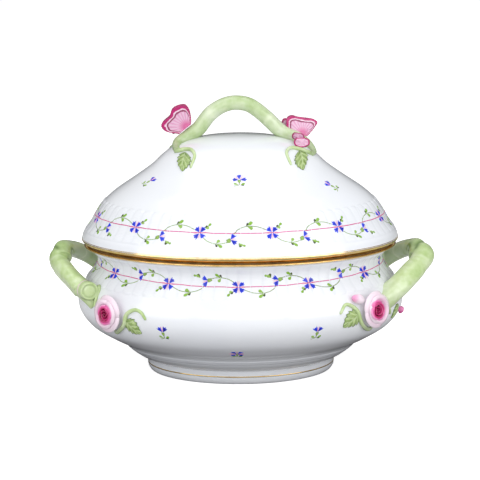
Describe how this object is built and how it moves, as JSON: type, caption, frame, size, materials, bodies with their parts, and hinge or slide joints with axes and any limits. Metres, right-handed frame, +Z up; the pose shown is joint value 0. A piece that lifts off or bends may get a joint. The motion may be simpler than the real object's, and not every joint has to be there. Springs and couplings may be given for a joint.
{
  "type": "soup tureen",
  "caption": "Oval lidded porcelain soup tureen with branch handles, applied roses, leaves and tendrils, butterflies on the lid and a painted flower garland.",
  "frame": {"origin": "middle of the foot ring's resting plane", "axes": "+Z up; +X along the longer axis of the oval, towards the right-hand handle as seen from the front; the front faces -Y"},
  "size_m": [0.3395, 0.2262, 0.2443],
  "materials": {
    "white_glaze": "white porcelain under clear gloss glaze, painted garland and gilt rims",
    "branch_green": "mottled light green enamel under gloss glaze",
    "leaf_green": "shaded leaf green enamel, darker veins, gloss",
    "petal_blush": "blush pink washed over white, gloss",
    "heart_crimson": "crimson pink enamel, gloss",
    "wing_pink": "pale pink with deep pink borders and veins, gloss",
    "gilding": "burnished gold film on the rims and a fine line on the foot",
    "painted_blue": "cobalt blue enamel petals",
    "painted_green": "green enamel vine and leaves",
    "painted_pink": "pink enamel lines and stamens"
  },
  "bodies": {
    "bowl": {"back_rose_a_heart": "heart_crimson", "back_rose_a_leaf": "leaf_green", "back_rose_a_petals": "petal_blush", "back_rose_a_stem": "branch_green", "back_rose_a_tendril": "branch_green", "back_rose_b_heart": "heart_crimson", "back_rose_b_leaf": "leaf_green", "back_rose_b_pale_bud": "petal_blush", "back_rose_b_petals": "petal_blush", "back_rose_b_pink_bud": "heart_crimson", "back_rose_b_side_leaf": "leaf_green", "back_rose_b_stem": "branch_green", "back_rose_b_tendril": "branch_green", "bowl_shell": "white_glaze", "foot_ring": "white_glaze", "front_rose_a_heart": "heart_crimson", "front_rose_a_leaf": "leaf_green", "front_rose_a_petals": "petal_blush", "front_rose_a_stem": "branch_green", "front_rose_a_tendril": "branch_green", "front_rose_b_heart": "heart_crimson", "front_rose_b_leaf": "leaf_green", "front_rose_b_pale_bud": "petal_blush", "front_rose_b_petals": "petal_blush", "front_rose_b_pink_bud": "heart_crimson", "front_rose_b_side_leaf": "leaf_green", "front_rose_b_stem": "branch_green", "front_rose_b_tendril": "branch_green", "left_handle": "branch_green", "right_handle": "branch_green"},
    "lid": {"back_shoot_a": "branch_green", "back_shoot_a_leaf": "leaf_green", "back_shoot_b": "branch_green", "back_shoot_b_leaf": "leaf_green", "front_shoot_a": "branch_green", "front_shoot_a_leaf": "leaf_green", "front_shoot_b": "branch_green", "front_shoot_b_leaf": "leaf_green", "left_butterfly_body": "wing_pink", "left_butterfly_far_wing": "wing_pink", "left_butterfly_near_wing": "wing_pink", "lid_handle": "branch_green", "lid_shell": "white_glaze", "right_butterfly_big_wing": "wing_pink", "right_butterfly_body": "wing_pink", "right_butterfly_lower_wing": "wing_pink", "right_butterfly_rolled_wing": "wing_pink", "right_butterfly_small_wing": "wing_pink"}
  },
  "joints": [
    {"name": "lid_lift", "type": "slide", "parent": "bowl", "child": "lid", "axis": [0, 0, 1], "range_m": [0, 0.16]}
  ]
}
